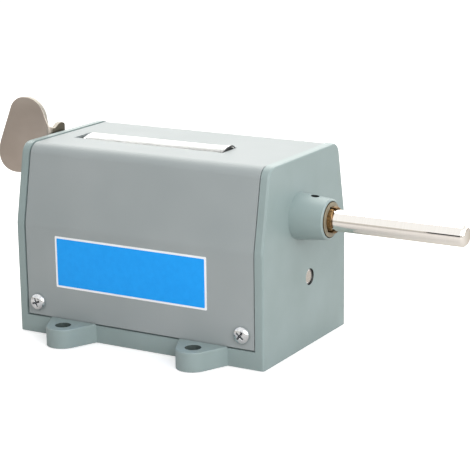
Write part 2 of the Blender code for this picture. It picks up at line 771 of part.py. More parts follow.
def make_key(steel, nickel, gear_x):
    """The key spindle, the wing key, and the washer and screw that hold it."""
    shoulder = KEY_X + KEY_SHEET_T / 2 + GAP
    tap = KEY_SCREW_R + GAP
    outline = [
        (shoulder + 0.007, tap),
        (shoulder, tap),
        (shoulder, KEY_SPINDLE_R),
        (gear_x[0] - GAP, KEY_SPINDLE_R),
        (gear_x[0] - GAP, 0.0020),
        (gear_x[1] + GAP, 0.0020),
    ]
    add_object("key_spindle", solid_of_turn(outline, 20), steel, on_key_axis())
    make_wing_key(nickel)
    face = KEY_X - KEY_SHEET_T / 2 - GAP
    washer = tube(face - 0.0008, face, tap, 0.0032, 20)
    add_object("key_washer", washer, steel, on_key_axis())
    seat = face - 0.0008 - GAP
    screw = [
        (seat - 0.0021, 0.0018),
        (seat - 0.0014, 0.0026),
        (seat, 0.0028),
        (seat, KEY_SCREW_R),
        (seat + 0.0085, KEY_SCREW_R),
    ]
    add_object("key_screw", solid_of_turn(screw, 16), steel, on_key_axis())


def wing_outline():
    """The front half of the flat blank as (u, z), u being the distance from the blank's middle.

    It runs from the middle of the upper edge round the wing and back along the lower edge.
    """
    corners = [
        (0.0000, 0.0110, 0.0),
        (0.0042, 0.0088, 0.0020),
        (0.0087, 0.0216, 0.0090),
        (0.0201, 0.0216, 0.0068),
        (0.0322, -0.0107, 0.0070),
        (0.0056, -0.0070, 0.0015),
        (0.0032, -0.0119, 0.0020),
        (0.0000, -0.0110, 0.0),
    ]
    points = [corners[0][:2]]
    for before, (u, z, radius), after in zip(corners, corners[1:], corners[2:]):
        points += rounded(before[:2], (u, z), after[:2], radius, 4 + int(radius / 0.0018))
    return points


def bend_folds(out):
    """The fold lines of one bend as (u, x, y), for a skin that lies out from the sheet's middle."""
    flat = KEY_HALF_W - KEY_BEND_R
    radius = KEY_BEND_R + out
    folds = []
    for step in range(BEND_STEPS + 1):
        turn = pi / 2 * step / BEND_STEPS
        x = radius * cos(turn) - KEY_BEND_R
        folds.append((flat + KEY_BEND_R * turn, x, flat + radius * sin(turn)))
    return folds


def bent(u, out):
    """Where a point of the flat blank comes to lie, as (x, y): over the spindle, round, outwards."""
    folds = bend_folds(out)
    if u <= folds[0][0]:
        return out, u
    for (u0, x0, y0), (u1, x1, y1) in zip(folds, folds[1:]):
        if u <= u1:
            part = (u - u0) / (u1 - u0)
            return x0 + part * (x1 - x0), y0 + part * (y1 - y0)
    return folds[-1][1] - (u - folds[-1][0]), folds[-1][2]


def make_wing_key(nickel):
    """The wing key. Half a turn about the spindle brings its front wing onto its rear one."""
    half = KEY_SHEET_T / 2
    front = wing_outline()
    blank = front + [(-u, -z) for u, z in front]
    bm = extrude_up(blank, -half, half)
    for u, _, _ in bend_folds(0.0):
        for side in (-1, 1):
            bmesh.ops.bisect_plane(
                bm,
                geom=bm.verts[:] + bm.edges[:] + bm.faces[:],
                dist=1e-6,
                plane_co=(side * u, 0, 0),
                plane_no=(1, 0, 0),
            )
    for vert in bm.verts:
        u, z, out = vert.co
        x, y = bent(abs(u), out)
        vert.co = (x, -y if u > 0 else y, z)
    key = add_object("wing_key", bm, nickel, on_key_axis(KEY_X))
    hole = rod(-0.003, 0.003, KEY_SCREW_R + GAP, 16)
    combine(key, helper("key_hole", hole, on_key_axis(KEY_X)), "DIFFERENCE")
    return key


def main():
    clear_scene()
    paint = finish("cast_grey_green_paint", "8fa09f", 0.45, 0.0)
    cover_paint = finish("sheet_grey_paint", "9a9f9e", 0.40, 0.0)
    clear = finish("clear_sheet", "e8ecec", 0.10, 0.0)
    screw_steel = finish("zinc_plated_steel", "c9cdd2", 0.30, 1.0)
    bright = finish("ground_steel", "d8d2c8", 0.18, 1.0)
    bronze = finish("sintered_bronze", "b98a55", 0.40, 1.0)
    brass = finish("machined_brass", "c8a35c", 0.35, 1.0)
    alloy = finish("die_cast_zinc", "9fa3a6", 0.45, 1.0)
    black = finish("black_wheel_plastic", "1c1d1f", 0.45, 0.0)
    spring = finish("blue_spring_steel", "4a4f5c", 0.35, 1.0)
    nickel = finish("nickel_plated_sheet", "b0a69c", 0.35, 1.0)

    make_frame(paint)
    make_cover(cover_paint)
    make_lens(clear)
    for side_y, depth in ((-1, "front"), (1, "rear")):
        for side_x, hand in ((-1, "left"), (1, "right")):
            face = side_y * BODY_D / 2
            place = (side_x * SCREW_X, face, SCREW_Z)
            make_screw(f"cover_screw_{depth}_{hand}", screw_steel, place, side_y)
    make_bushes(bronze)
    make_wheels(black, spring, brass)
    make_spindle(bright, brass)
    make_drive(bright, alloy, screw_steel)
    gear_x = make_reset(bright, brass)
    make_key(bright, nickel, gear_x)


main()
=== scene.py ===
from math import atan2, cos, hypot, pi, radians, sin

import bmesh
import bpy
from mathutils import Matrix, Vector


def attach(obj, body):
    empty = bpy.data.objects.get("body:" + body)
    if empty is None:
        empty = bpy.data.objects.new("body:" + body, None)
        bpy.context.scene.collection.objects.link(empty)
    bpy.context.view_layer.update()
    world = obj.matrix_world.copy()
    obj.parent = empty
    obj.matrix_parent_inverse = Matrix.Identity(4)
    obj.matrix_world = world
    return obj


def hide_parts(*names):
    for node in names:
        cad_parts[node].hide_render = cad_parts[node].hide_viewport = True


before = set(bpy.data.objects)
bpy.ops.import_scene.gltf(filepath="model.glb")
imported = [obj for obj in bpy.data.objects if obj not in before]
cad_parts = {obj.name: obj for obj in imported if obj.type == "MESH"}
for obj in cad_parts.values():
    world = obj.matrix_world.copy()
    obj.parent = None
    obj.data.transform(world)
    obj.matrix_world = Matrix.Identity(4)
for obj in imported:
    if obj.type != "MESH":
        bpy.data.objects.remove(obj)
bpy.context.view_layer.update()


# Camera. The photograph looks at the front and the right end from a little above, with a long lens.
# Azimuth, elevation, roll and distance come from the fit of the housing's corners.
VIEW_AZIMUTH = radians(30.18)
VIEW_ELEVATION = radians(14.449)
VIEW_ROLL = radians(-0.73)
VIEW_DISTANCE = 0.64983
AIM_RIGHT = 0.020764
AIM_UP = 0.035639
FOCAL_PIXELS = 1649.6
PICTURE_WIDTH = 470
SENSOR_WIDTH = 36.0

back = Vector((
    sin(VIEW_AZIMUTH) * cos(VIEW_ELEVATION),
    -cos(VIEW_AZIMUTH) * cos(VIEW_ELEVATION),
    sin(VIEW_ELEVATION),
))
level = Vector((cos(VIEW_AZIMUTH), sin(VIEW_AZIMUTH), 0.0))
upright = back.cross(level)
across = level * cos(VIEW_ROLL) + upright * sin(VIEW_ROLL)
above = -level * sin(VIEW_ROLL) + upright * cos(VIEW_ROLL)
camera_data = bpy.data.cameras.new("camera")
camera_data.sensor_width = SENSOR_WIDTH
camera_data.lens = SENSOR_WIDTH * FOCAL_PIXELS / PICTURE_WIDTH
camera_data.clip_start = 0.01
camera_data.clip_end = 20.0
camera = bpy.data.objects.new("camera", camera_data)
turn = Matrix((across, above, back)).transposed().to_4x4()
camera.matrix_world = Matrix.Translation(back * VIEW_DISTANCE + level * AIM_RIGHT + upright * AIM_UP) @ turn
bpy.context.scene.collection.objects.link(camera)
bpy.context.scene.camera = camera


# Light. A large softbox stands above and behind, as in a product studio, and lights the top;
# one on the right lifts the end plate, a near one at the front right shades the front off to the left.
def linear(hex_colour):
    """The linear colour of an sRGB hex value such as 8fa19f."""
    parts = [int(hex_colour[i:i + 2], 16) / 255 for i in (0, 2, 4)]
    return [p / 12.92 if p <= 0.04045 else ((p + 0.055) / 1.055) ** 2.4 for p in parts]


def add_node(tree, kind, settings):
    """Adds a shader node. Lower-case settings are its options, the others its inputs or links to them."""
    node = tree.nodes.new("ShaderNode" + kind)
    for name, value in settings.items():
        if isinstance(name, str) and name.islower():
            setattr(node, name, value)
        elif isinstance(value, bpy.types.NodeSocket):
            tree.links.new(value, node.inputs[name])
        else:
            node.inputs[name].default_value = value
    return node


def softbox(name, place, aim, width, height, watts, hex_colour):
    """A rectangular area lamp at place that points at aim."""
    data = bpy.data.lights.new(name, "AREA")
    data.shape = "RECTANGLE"
    data.size = width
    data.size_y = height
    data.energy = watts
    data.color = linear(hex_colour)
    lamp = bpy.data.objects.new(name, data)
    direction = Vector(aim) - Vector(place)
    lamp.matrix_world = Matrix.Translation(place) @ direction.to_track_quat("-Z", "Y").to_matrix().to_4x4()
    bpy.context.scene.collection.objects.link(lamp)


softbox("top_softbox", (-0.25, 0.50, 0.80), (0.0, 0.0, 0.05), 1.10, 0.90, 9.0, "fffdf8")
softbox("right_softbox", (0.75, -0.10, 0.35), (0.05, 0.0, 0.04), 0.60, 0.60, 2.2, "fbfdff")
softbox("front_softbox", (0.26, -0.30, 0.22), (0.02, -0.03, 0.04), 0.22, 0.22, 0.74, "ffffff")

world = bpy.data.worlds.new("pale_room")
world.use_nodes = True
world.node_tree.nodes.clear()
# Surfaces get less light from the room than the camera, a mirror or clear plastic sees of it. Far off,
# below nine degrees, the room is a little darker; polished metal mirrors that as a soft line and a door
# frame in it as a sharp dark one. A mirror also sees a backdrop behind that is brighter than white.
FILL = 0.56
SKIRTING_TOP = 0.155
DOOR_FROM = -0.383
DOOR_TO = -0.25
SKIRTING_COLOUR = (0.66, 0.63, 0.58, 1)
DOOR_COLOUR = (0.02, 0.02, 0.02, 1)
BACKDROP = 1.4
BACKDROP_FROM = 0.1
BACKDROP_FULL = 0.5
BACKDROP_TOP = 0.55
BACKDROP_FULL_TOP = 0.40


def math_of(operation, first, second, clamp=False):
    """The outcome of one operation on two values or sockets in the room's tree."""
    settings = {"operation": operation, "use_clamp": clamp, 0: first, 1: second}
    return add_node(world.node_tree, "Math", settings).outputs[0]


sides = add_node(world.node_tree, "TexCoord", {})
sides = add_node(world.node_tree, "SeparateXYZ", {"Vector": sides.outputs["Generated"]}).outputs
rays = add_node(world.node_tree, "LightPath", {}).outputs
below = math_of("LESS_THAN", sides["Z"], SKIRTING_TOP)
right_of = math_of("GREATER_THAN", sides["X"], DOOR_FROM)
left_of = math_of("LESS_THAN", sides["X"], DOOR_TO)
below = math_of("MULTIPLY", below, rays["Is Glossy Ray"])
door = math_of("MULTIPLY", right_of, left_of)
band = add_node(world.node_tree, "Mix", {"data_type": "RGBA", 0: door})
band.inputs[6].default_value = SKIRTING_COLOUR
band.inputs[7].default_value = DOOR_COLOUR
wall = add_node(world.node_tree, "Mix", {"data_type": "RGBA", 0: below})
wall.inputs[6].default_value = (1, 1, 1, 1)
world.node_tree.links.new(band.outputs[2], wall.inputs[7])
seen = math_of("ADD", rays["Is Camera Ray"], rays["Is Glossy Ray"])
seen = math_of("ADD", seen, rays["Is Transmission Ray"], clamp=True)
level_of = add_node(world.node_tree, "MapRange", {"Value": seen, "To Min": FILL, "To Max": 1.0})
behind = add_node(world.node_tree, "MapRange", {
    "Value": sides["Y"], "From Min": BACKDROP_FROM, "From Max": BACKDROP_FULL, "To Max": BACKDROP,
})
low = add_node(world.node_tree, "MapRange", {
    "Value": sides["Z"], "From Min": BACKDROP_TOP, "From Max": BACKDROP_FULL_TOP,
})
lit_wall = math_of("MULTIPLY", behind.outputs["Result"], low.outputs["Result"])
lit_wall = math_of("MULTIPLY", lit_wall, rays["Is Glossy Ray"])
level_of = math_of("ADD", level_of.outputs["Result"], lit_wall)
room = add_node(world.node_tree, "Background", {"Color": wall.outputs[2], "Strength": level_of})
add_node(world.node_tree, "OutputWorld", {"Surface": room.outputs[0]})
bpy.context.scene.world = world
bpy.context.scene.view_settings.view_transform = "Standard"


# Floor. A white paper sweep; the camera sees it as white as the room, apart from the counter's shadow,
# and it throws back a little over half of the light, so that the lower edges stay darker.
FLOOR_SIZE = 6.0
FLOOR_GAP = 0.0002
bm = bmesh.new()
bmesh.ops.create_grid(bm, x_segments=1, y_segments=1, size=FLOOR_SIZE / 2)
bmesh.ops.translate(bm, verts=bm.verts, vec=(0, 0, -FLOOR_GAP))
floor_mesh = bpy.data.meshes.new("floor")
bm.to_mesh(floor_mesh)
bm.free()
floor = bpy.data.objects.new("floor", floor_mesh)
bpy.context.scene.collection.objects.link(floor)
paper = bpy.data.materials.new("white_paper")
paper.use_nodes = True
tree = paper.node_tree
tree.nodes.clear()
matt = add_node(tree, "BsdfDiffuse", {"Color": (0.80, 0.80, 0.80, 1)})
glow = add_node(tree, "Emission", {"Color": (1, 1, 1, 1), "Strength": 0.45})
lit = add_node(tree, "AddShader", {0: matt.outputs[0], 1: glow.outputs[0]})
dim = add_node(tree, "BsdfDiffuse", {"Color": (0.60, 0.58, 0.57, 1)})
rays = add_node(tree, "LightPath", {})
mix = add_node(tree, "MixShader", {
    "Fac": rays.outputs["Is Camera Ray"], 1: dim.outputs[0], 2: lit.outputs[0],
})
add_node(tree, "OutputMaterial", {"Surface": mix.outputs[0]})
floor_mesh.materials.append(paper)


# Housing. One aluminium pressure die casting, stove enamelled grey-green, with its edges rounded by
# the die and the thick enamel. It is a finer copy of the frame's solid, with every outer edge eased.
HOUSING_HALF_L = 0.0545
HOUSING_HALF_D = 0.033
LOW_END_Z = 0.03
DIE_EDGE = 0.0006
EAR_X = 0.029
EAR_Y = 0.040
EAR_Z = 0.0074
EAR_HOLE_R = 0.0031
BOSS_R = 0.0087
BOSS_FACE = 0.0675
FILLET_L = 0.0012
FILLET_R = 0.0015
OIL_X = 0.0610
OIL_R = 0.0016
OIL_LIP_Z = 0.0585
SINK_R = 0.0032
SINK_FROM = 0.0530
WHEEL_Y = -0.0050
WHEEL_Z = 0.0520
SPINDLE_Y = 0.00309
SPINDLE_Z = 0.02666


def principled(name, settings):
    """A material with a Principled shader that has these values; returns it, its tree and its shader."""
    made = bpy.data.materials.new(name)
    made.use_nodes = True
    shader = made.node_tree.nodes["Principled BSDF"]
    for key, value in settings.items():
        shader.inputs[key].default_value = value
    return made, made.node_tree, shader


def colour_of(hex_colour):
    return (*linear(hex_colour), 1.0)


def clouded(name, settings, dark, light, scale, detail=3.0, stretch=(1, 1, 1)):
    """A material whose colour wanders between two hex colours; returns it, its tree, shader and noise.

    scale is in patches per metre, and stretch makes them shorter along each axis.
    """
    made, tree, shader = principled(name, settings)
    spots = add_node(tree, "TexCoord", {})
    stretched = add_node(tree, "Mapping", {"Vector": spots.outputs["Object"], "Scale": stretch})
    noise = add_node(tree, "TexNoise", {
        "Vector": stretched.outputs["Vector"], "Scale": scale, "Detail": detail,
    })
    tint = add_node(tree, "ValToRGB", {"Fac": noise.outputs["Fac"]})
    for element, place, hex_colour in zip(tint.color_ramp.elements, (0.3, 0.7), (dark, light)):
        element.position = place
        element.color = colour_of(hex_colour)
    tree.links.new(tint.outputs["Color"], shader.inputs["Base Color"])
    return made, tree, shader, noise


def grain(tree, shader, height, depth, strength):
    """Turns a noise into surface relief of a real depth in metres."""
    relief = add_node(tree, "Bump", {"Strength": strength, "Distance": depth, "Height": height})
    tree.links.new(relief.outputs["Normal"], shader.inputs["Normal"])


def add_piece(name, bm, finish, body, replaces=(), sharp=32):
    """Makes a smooth-shaded piece of a bmesh and hands it to the CAD body that carries it."""
    mesh = bpy.data.meshes.new(name)
    bm.to_mesh(mesh)
    bm.free()
    mesh.materials.append(finish)
    mesh.shade_smooth()
    mesh.set_sharp_from_angle(angle=radians(sharp))
    piece = bpy.data.objects.new(name, mesh)
    bpy.context.scene.collection.objects.link(piece)
    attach(piece, body)
    if replaces:
        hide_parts(*replaces)
    return piece


def weigh_normals(piece):
    """Lets the large flat faces keep their own direction beside the small rounded ones."""
    modifier = piece.modifiers.new("weighted", "WEIGHTED_NORMAL")
    modifier.keep_sharp = True
    modifier.weight = 90


# Cast and enamelled: the colour barely varies, the surface has a soft orange peel about 1.5 mm across.
enamel, tree, shader, noise = clouded(
    "stoved_enamel_on_casting", {"Roughness": 0.40, "IOR": 1.50}, "8b9b9a", "94a4a4", 45.0
)
spots = noise.inputs["Vector"].links[0].from_socket
peel = add_node(tree, "TexNoise", {"Vector": spots, "Scale": 650.0, "Detail": 2.0})
grain(tree, shader, peel.outputs["Fac"], 0.00006, 0.35)

bm = bmesh.new()
bm.from_mesh(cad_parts["frame"].data)
bmesh.ops.remove_doubles(bm, verts=bm.verts, dist=0.00002)
bmesh.ops.dissolve_limit(bm, angle_limit=radians(0.5), verts=bm.verts, edges=bm.edges)
for vert in bm.verts:
    # The boss meets the end plate in a sharp corner, without the solid's fillet.
    from_axis = Vector((vert.co.y - WHEEL_Y, vert.co.z - WHEEL_Z))
    at_foot = HOUSING_HALF_L - 0.0001 < vert.co.x < HOUSING_HALF_L + FILLET_L
    if at_foot and BOSS_R < from_axis.length < BOSS_R + FILLET_R:
        from_axis *= (BOSS_R + 0.0001) / from_axis.length
        vert.co.yz = (WHEEL_Y + from_axis.x, WHEEL_Z + from_axis.y)


def is_outer_corner(edge):
    """A sharp convex edge on the outside of the casting, below the cover or on the ends."""
    if not edge.is_manifold or edge.calc_face_angle_signed(0) < radians(35):
        return False
    middle = (edge.verts[0].co + edge.verts[1].co) / 2
    if middle.z < 0.0001:
        return True
    if abs(middle.x) > HOUSING_HALF_L - 0.0001:
        return middle.x > BOSS_FACE - 0.0005 or middle.z < LOW_END_Z
    return abs(middle.y) > HOUSING_HALF_D + 0.0001


def drilled_hole(face):
    """0 for an enamelled face, 1 for a face in an ear hole, 2 for one in a hole of the right end; 1 and 2
    get painted shade.
    """
    x, y, z = face.calc_center_median()
    in_ear = 0.0001 < z < EAR_Z - 0.0001
    if in_ear and hypot(abs(x) - EAR_X, abs(y) - EAR_Y) < EAR_HOLE_R + 0.0005:
        return 1
    if z > OIL_LIP_Z and hypot(x - OIL_X, y - WHEEL_Y) < OIL_R + 0.00005:
        return 2
    in_sink = SINK_FROM < x < HOUSING_HALF_L - 0.0001
    if in_sink and hypot(y - SPINDLE_Y, z - SPINDLE_Z) < SINK_R + 0.00005:
        return 2
    return 0


edges = [e for e in bm.edges if is_outer_corner(e)]
bmesh.ops.bevel(bm, geom=edges, offset=DIE_EDGE, offset_type="OFFSET", segments=3, profile=0.5,
                affect="EDGES", material=-1, clamp_overlap=True)
for face in bm.faces:
    face.material_index = drilled_hole(face)
housing = add_piece("housing_casting", bm, enamel, "housing", ["frame"])
weigh_normals(housing)

# Holes drilled after enamelling get painted shade: a dull dark grey-green in the ears, near black in the
# oil hole and the spindle's sunk hole.
ear_hole_shade = clouded("painted_shade_in_ear_holes", {"Roughness": 0.55}, "3f4b49", "4f5b59", 700.0)[0]
housing.data.materials.append(ear_hole_shade)
end_plate_hole_shade = clouded("painted_shade_in_end_plate_holes", {"Roughness": 0.35}, "0e1011", "1d2121", 700.0)[0]
housing.data.materials.append(end_plate_hole_shade)


# Drive bush and journal bushes. Pressed in from outside; sintered bronze, finished by turning, with
# three oil grooves at the mouth of the drive bush. The pores hold oil and look darker than the metal.
def refinish(finish, *names):
    """Gives CAD nodes that keep their shape a material of their own."""
    for name in names:
        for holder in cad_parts[name].material_slots:
            holder.material = finish


def turned(outline, steps):
    """Spins an open outline of (distance along Z, radius) and closes its ends."""
    bm = bmesh.new()
    line = [bm.verts.new((radius, 0, along)) for along, radius in outline]
    edges = [bm.edges.new(pair) for pair in zip(line, line[1:])]
    bmesh.ops.spin(bm, geom=line + edges, cent=(0, 0, 0), axis=(0, 0, 1), angle=2 * pi, steps=steps,
                   use_merge=True)
    bmesh.ops.remove_doubles(bm, verts=bm.verts, dist=1e-7)
    bmesh.ops.holes_fill(bm, edges=[e for e in bm.edges if e.is_boundary])
    bmesh.ops.recalc_face_normals(bm, faces=bm.faces)
    return bm


def carved(bm, *cutters):
    """The solid bm with each cutter's solid taken out of it."""
    for cutter in cutters:
        holders = []
        for source in (bm, cutter):
            mesh = bpy.data.meshes.new("blank")
            source.to_mesh(mesh)
            source.free()
            holders.append(bpy.data.objects.new("blank", mesh))
            bpy.context.scene.collection.objects.link(holders[-1])
        cut = holders[0].modifiers.new("cut", "BOOLEAN")
        cut.operation = "DIFFERENCE"
        cut.solver = "EXACT"
        cut.object = holders[1]
        bpy.context.view_layer.update()
        bm = bmesh.new()
        bm.from_object(holders[0], bpy.context.evaluated_depsgraph_get())
        for holder in holders:
            bpy.data.objects.remove(holder, do_unlink=True)
    return bm


def rod(start, end, radius, steps):
    """A cylinder along Z from start to end."""
    return turned([(start, 0.0), (start, radius), (end, radius), (end, 0.0)], steps)


def uneven_gloss(tree, shader, factor, low, high):
    """Lets the roughness wander with a noise."""
    spread = add_node(tree, "MapRange", {"Value": factor, "To Min": low, "To Max": high})
    tree.links.new(spread.outputs["Result"], shader.inputs["Roughness"])


ALONG_X = Matrix.Rotation(pi / 2, 4, "Y")
CUTTER_SPARE = 0.01
BUSH_FROM = 0.0440
BUSH_R = 0.0065
LIP_R = 0.0049
LIP_END = 0.0697
BUSH_BORE_R = 0.0042
GROOVE_R = 0.00075
GROOVE_L = 0.003
GROOVE_OUT = 0.0003
GROOVE_ANGLES = (108, 228, 348)

# Pores about 0.1 mm across are too fine to show, so they are drawn at 0.5 mm.
bronze, tree, shader, noise = clouded("sintered_bronze", {"Metallic": 1.0}, "5e482e", "98784f", 900.0)
grain(tree, shader, noise.outputs["Fac"], 0.00004, 0.4)
uneven_gloss(tree, shader, noise.outputs["Fac"], 0.50, 0.34)
refinish(bronze, "reset_shaft_bush", "key_bush")

# The collar's face has gone a pale tan, with some of the housing's enamel sprayed over it.
tan_collar, tree, shader, noise = clouded(
    "oversprayed_bronze_collar", {"Metallic": 0.3}, "807a68", "958c78", 600.0
)
uneven_gloss(tree, shader, noise.outputs["Fac"], 0.55, 0.40)

collar = turned([
    (BUSH_FROM, 0.0), (BUSH_FROM, BUSH_R), (BOSS_FACE + 0.0002, BUSH_R),
    (BOSS_FACE + 0.0005, LIP_R),
    (LIP_END - 0.0002, LIP_R), (LIP_END, LIP_R - 0.0002), (LIP_END, 0.0),
], 64)
cutters = [rod(BUSH_FROM - CUTTER_SPARE, LIP_END + CUTTER_SPARE, BUSH_BORE_R, 64)]
for angle in GROOVE_ANGLES:
    groove = rod(BOSS_FACE - GROOVE_L, LIP_END + CUTTER_SPARE, GROOVE_R, 16)
    # ALONG_X takes Z to X and X to -Z, so the axis' distance up is put in as -X.
    where = Vector((-sin(radians(angle)), cos(radians(angle)), 0)) * (BUSH_BORE_R + GROOVE_OUT)
    bmesh.ops.translate(groove, verts=groove.verts, vec=where)
    cutters.append(groove)
bm = carved(collar, *cutters)
bmesh.ops.transform(bm, matrix=Matrix.Translation((0, WHEEL_Y, WHEEL_Z)) @ ALONG_X, verts=bm.verts)
for face in bm.faces:
    spot = face.calc_center_median()
    from_axis = hypot(spot.y - WHEEL_Y, spot.z - WHEEL_Z)
    face.material_index = 1 if from_axis > LIP_R + 0.0001 and spot.x > BOSS_FACE else 0
bush = add_piece("turned_drive_bush", bm, bronze, "housing", ["drive_bush"])
bush.data.materials.append(tan_collar)


# Reset train. A ground silver-steel shaft with a milled groove carries the wheels, and a pair of
# hobbed brass gears turns it from the key spindle. The grinding leaves rings 0.4 mm apart in its gloss.
ground_steel, tree, shader, noise = clouded(
    "ground_silver_steel", {"Metallic": 1.0}, "bdb8b0", "d8d3cb", 60.0, 2.0, (40, 1, 1)
)
uneven_gloss(tree, shader, noise.outputs["Fac"], 0.16, 0.26)
grain(tree, shader, noise.outputs["Fac"], 0.00001, 0.15)
refinish(ground_steel, "reset_shaft", "key_spindle", "pinion_spindle", "drive_pin")

# Turned brass keeps fine rings from the tool, 0.2 mm apart, and a few darker touched spots.
brass, tree, shader, noise = clouded(
    "turned_brass", {"Metallic": 1.0}, "b08a48", "d0ad6c", 70.0, 3.0, (70, 1, 1)
)
uneven_gloss(tree, shader, noise.outputs["Fac"], 0.42, 0.28)
grain(tree, shader, noise.outputs["Fac"], 0.00002, 0.3)
refinish(brass, "reset_gear", "key_pinion")


# Number wheels. Black moulded plastic with a toothed ring and a carry disc; each has a white figure
# ring of ten plain numbers hot-stamped round its drum, and a blued leaf spring inside.
UNITS_RIGHT = 0.0241
WHEEL_PITCH = 0.0132
DRUM_FROM = 0.00215
DRUM_TO = 0.01085
DRUM_R = 0.02004
FIGURE_H = 0.0066
FIGURE_MAX_W = 0.0048
FIGURE_BOLDER = 0.00012
FIGURE_CUTS = 7
BAND_T = 0.0008
BAND_EDGE = 0.0002
INK_T = 0.00006
WHEELS = ("units", "tens", "hundreds", "thousands", "ten_thousands")

# Spark-eroded moulds leave a fine even matt, drawn at 0.5 mm.
plastic, tree, shader, noise = clouded(
    "moulded_black_plastic", {"IOR": 1.49}, "17181a", "212225", 1800.0, 2.0
)
grain(tree, shader, noise.outputs["Fac"], 0.00003, 0.35)
uneven_gloss(tree, shader, noise.outputs["Fac"], 0.38, 0.52)
refinish(plastic, *[f"{name}_wheel" for name in WHEELS])

# Hot-stamped foil: nearly opaque white that is a little thin in places.
ink = clouded("stamped_white_foil", {"IOR": 1.45, "Roughness": 0.5}, "dcdcd6", "f0f0ec", 900.0)[0]

# Tempered to a blue that is uneven over about two millimetres.
blued = clouded(
    "blued_spring_steel", {"Metallic": 1.0, "Roughness": 0.32}, "3b4152", "5a6072", 500.0
)[0]
refinish(blued, *[f"{name}_zero_spring" for name in WHEELS])


def split(bm, point, normal, dist=1e-7):
    """Cuts new edges into every face of bm where a plane through point crosses it."""
    bmesh.ops.bisect_plane(bm, geom=bm.verts[:] + bm.edges[:] + bm.faces[:], dist=dist,
                           plane_co=point, plane_no=normal)


def figure_ring():
    """The ten figures round one drum, centred on X = 0, on the wheels' axis."""
    ring = bmesh.new()
    for digit in range(10):
        text = bpy.data.curves.new("figure", "FONT")
        text.body = str(digit)
        text.size = 0.01
        text.resolution_u = 5
        text.offset = FIGURE_BOLDER
        text.extrude = INK_T / 2
        holder = bpy.data.objects.new("figure", text)
        bpy.context.scene.collection.objects.link(holder)
        bpy.context.view_layer.update()
        flat = bpy.data.meshes.new_from_object(holder.evaluated_get(bpy.context.evaluated_depsgraph_get()))
        bpy.data.objects.remove(holder, do_unlink=True)
        bm = bmesh.new()
        bm.from_mesh(flat)
        bmesh.ops.remove_doubles(bm, verts=bm.verts, dist=1e-7)
        low = Vector([min(v.co[i] for v in bm.verts) for i in range(3)])
        high = Vector([max(v.co[i] for v in bm.verts) for i in range(3)])
        tall = FIGURE_H / (high.y - low.y)
        wide = min(tall, FIGURE_MAX_W / (high.x - low.x))
        bmesh.ops.translate(bm, verts=bm.verts, vec=-(low + high) / 2)
        bmesh.ops.scale(bm, verts=bm.verts, vec=(wide, tall, 1))
        for cut in range(1, FIGURE_CUTS):
            height = FIGURE_H * (cut / FIGURE_CUTS - 0.5)
            split(bm, (0, height, 0), (0, 1, 0), dist=1e-8)
        for vert in bm.verts:
            # Wrapped round the drum: up the figure is backwards over the top of the wheel.
            angle = pi / 2 - digit * pi / 5 - vert.co.y / DRUM_R
            radius = DRUM_R + INK_T / 2 + vert.co.z
            vert.co = (vert.co.x, WHEEL_Y + radius * cos(angle), WHEEL_Z + radius * sin(angle))
        bmesh.ops.recalc_face_normals(bm, faces=bm.faces)
        bm.to_mesh(flat)
        bm.free()
        ring.from_mesh(flat)
        bpy.data.meshes.remove(flat)
    return ring


ring_mesh = bpy.data.meshes.new("figure_ring")
figure_ring().to_mesh(ring_mesh)
for order, name in enumerate(WHEELS):
    left = UNITS_RIGHT - (order + 1) * WHEEL_PITCH
    bm = turned([
        (DRUM_FROM, DRUM_R - BAND_T), (DRUM_FROM, DRUM_R - BAND_EDGE), (DRUM_FROM + BAND_EDGE, DRUM_R),
        (DRUM_TO - BAND_EDGE, DRUM_R), (DRUM_TO, DRUM_R - BAND_EDGE), (DRUM_TO, DRUM_R - BAND_T),
    ], 96)
    bmesh.ops.delete(bm, geom=[f for f in bm.faces if len(f.verts) > 4], context="FACES_ONLY")
    rims = [e for e in bm.edges if e.is_boundary]
    bmesh.ops.bridge_loops(bm, edges=rims)
    bmesh.ops.recalc_face_normals(bm, faces=bm.faces)
    bmesh.ops.transform(bm, matrix=Matrix.Translation((left, WHEEL_Y, WHEEL_Z)) @ ALONG_X, verts=bm.verts)
    add_piece(f"{name}_drum_band", bm, plastic, name)
    bm = bmesh.new()
    bm.from_mesh(ring_mesh)
    bmesh.ops.translate(bm, verts=bm.verts, vec=(left + (DRUM_FROM + DRUM_TO) / 2, 0, 0))
    add_piece(f"{name}_figures", bm, ink, name)


# Transfer train. Brass pinions of eight teeth run loose on a fixed ground spindle, parted by brass
# tubes; the spindle's end shows in its hole in the right end plate.
refinish(brass, *[f"{name}_pinion" for name in WHEELS])
refinish(brass, *[f"spindle_spacer_{number}" for number in range(1, 7)])

# The spindle's end is peened over in its sunk hole: bright and dented.
PEENED_FROM = 0.05360
PEENED_TO = 0.0540
PEENED_R = 0.0030
peened_steel, tree, shader, noise = clouded(
    "peened_bright_steel", {"Metallic": 1.0}, "f2eae8", "ffffff", 900.0
)
uneven_gloss(tree, shader, noise.outputs["Fac"], 0.22, 0.35)
grain(tree, shader, noise.outputs["Fac"], 0.00004, 0.5)
for side in (-1, 1):
    bm = turned([
        (PEENED_FROM, 0.0), (PEENED_FROM, PEENED_R), (PEENED_TO - 0.00025, PEENED_R),
        (PEENED_TO - 0.00012, PEENED_R - 0.0002), (PEENED_TO - 0.00006, PEENED_R - 0.0008),
        (PEENED_TO, 0.0),
    ], 48)
    place = Matrix.Translation((0, SPINDLE_Y, SPINDLE_Z)) @ Matrix.Rotation(side * pi / 2, 4, "Y")
    bmesh.ops.transform(bm, matrix=place, verts=bm.verts)
    end = "left" if side < 0 else "right"
    add_piece(f"spindle_peened_end_{end}", bm, peened_steel, "housing")


